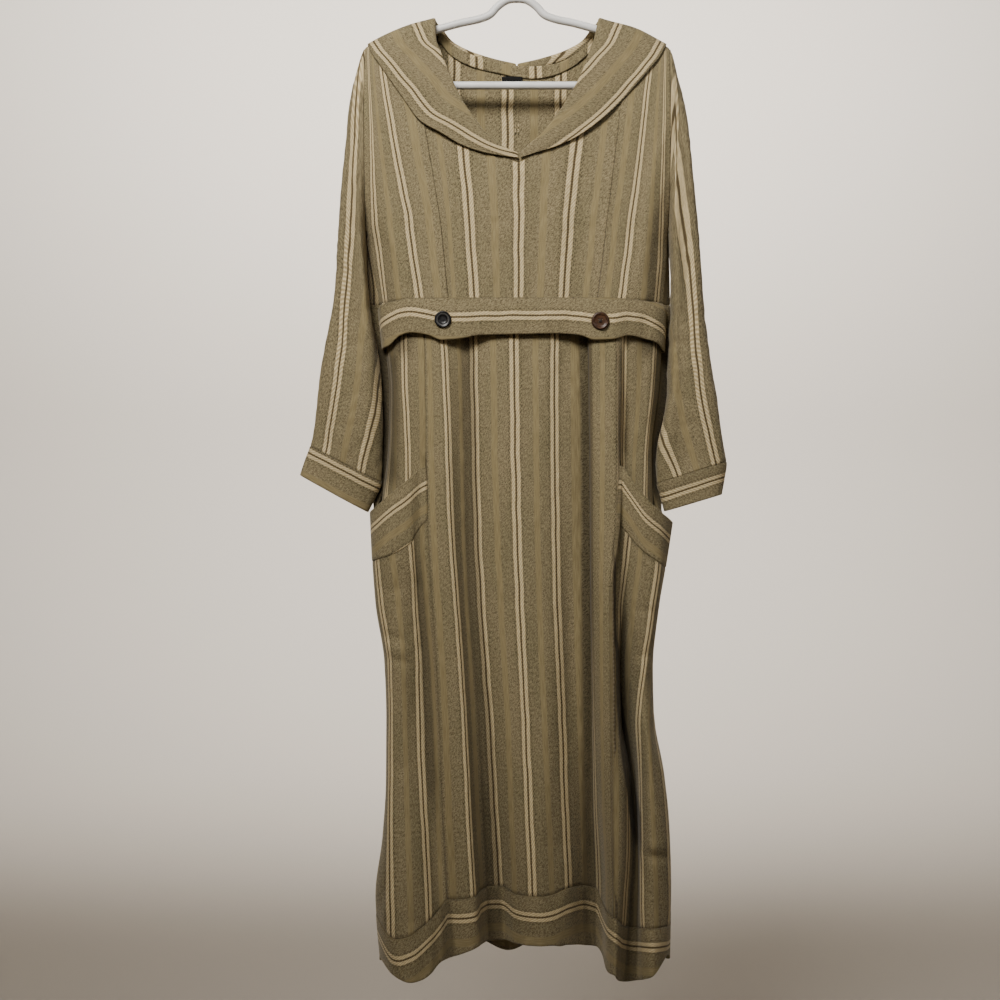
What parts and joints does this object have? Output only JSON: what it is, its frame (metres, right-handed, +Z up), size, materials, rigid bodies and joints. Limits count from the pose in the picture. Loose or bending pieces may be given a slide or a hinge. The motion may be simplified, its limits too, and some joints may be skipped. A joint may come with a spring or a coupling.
{
  "type": "kaftan dress on a hanger",
  "caption": "Long striped kaftan dress with a wide collar, long cuffed sleeves, a buttoned waist band and slanted pockets, hung on a tube hanger.",
  "frame": {"origin": "bearing point inside the top of the hanger's hook", "axes": "+X to the right of someone facing the dress's front, +Y away from them towards the back, +Z up; the front faces -Y"},
  "size_m": [0.5999, 0.2134, 1.4417],
  "materials": {
    "striped_cloth": "woven taupe cloth with cream, tan and dashed brown stripes",
    "label_cloth": "plain black tape",
    "button_dark": "dark with a grey ring",
    "button_horn": "brown horn",
    "hanger_plastic": "white, slightly shiny"
  },
  "bodies": {
    "root": {"front_bodice": "striped_cloth", "back_bodice": "striped_cloth", "back_neck_facing": "striped_cloth", "collar_left": "striped_cloth", "collar_right": "striped_cloth", "pocket_band_left": "striped_cloth", "pocket_band_right": "striped_cloth", "pocket_front_left": "striped_cloth", "pocket_front_right": "striped_cloth", "hem_band_front": "striped_cloth", "hem_band_back": "striped_cloth", "skirt_front_centre": "striped_cloth", "skirt_side_left": "striped_cloth", "skirt_side_right": "striped_cloth", "skirt_back": "striped_cloth", "waist_band": "striped_cloth", "sleeve_left": "striped_cloth", "sleeve_right": "striped_cloth", "cuff_left": "striped_cloth", "cuff_right": "striped_cloth", "label": "label_cloth", "button_left": "button_dark", "button_right": "button_horn", "hanger": "hanger_plastic"}
  },
  "joints": []
}
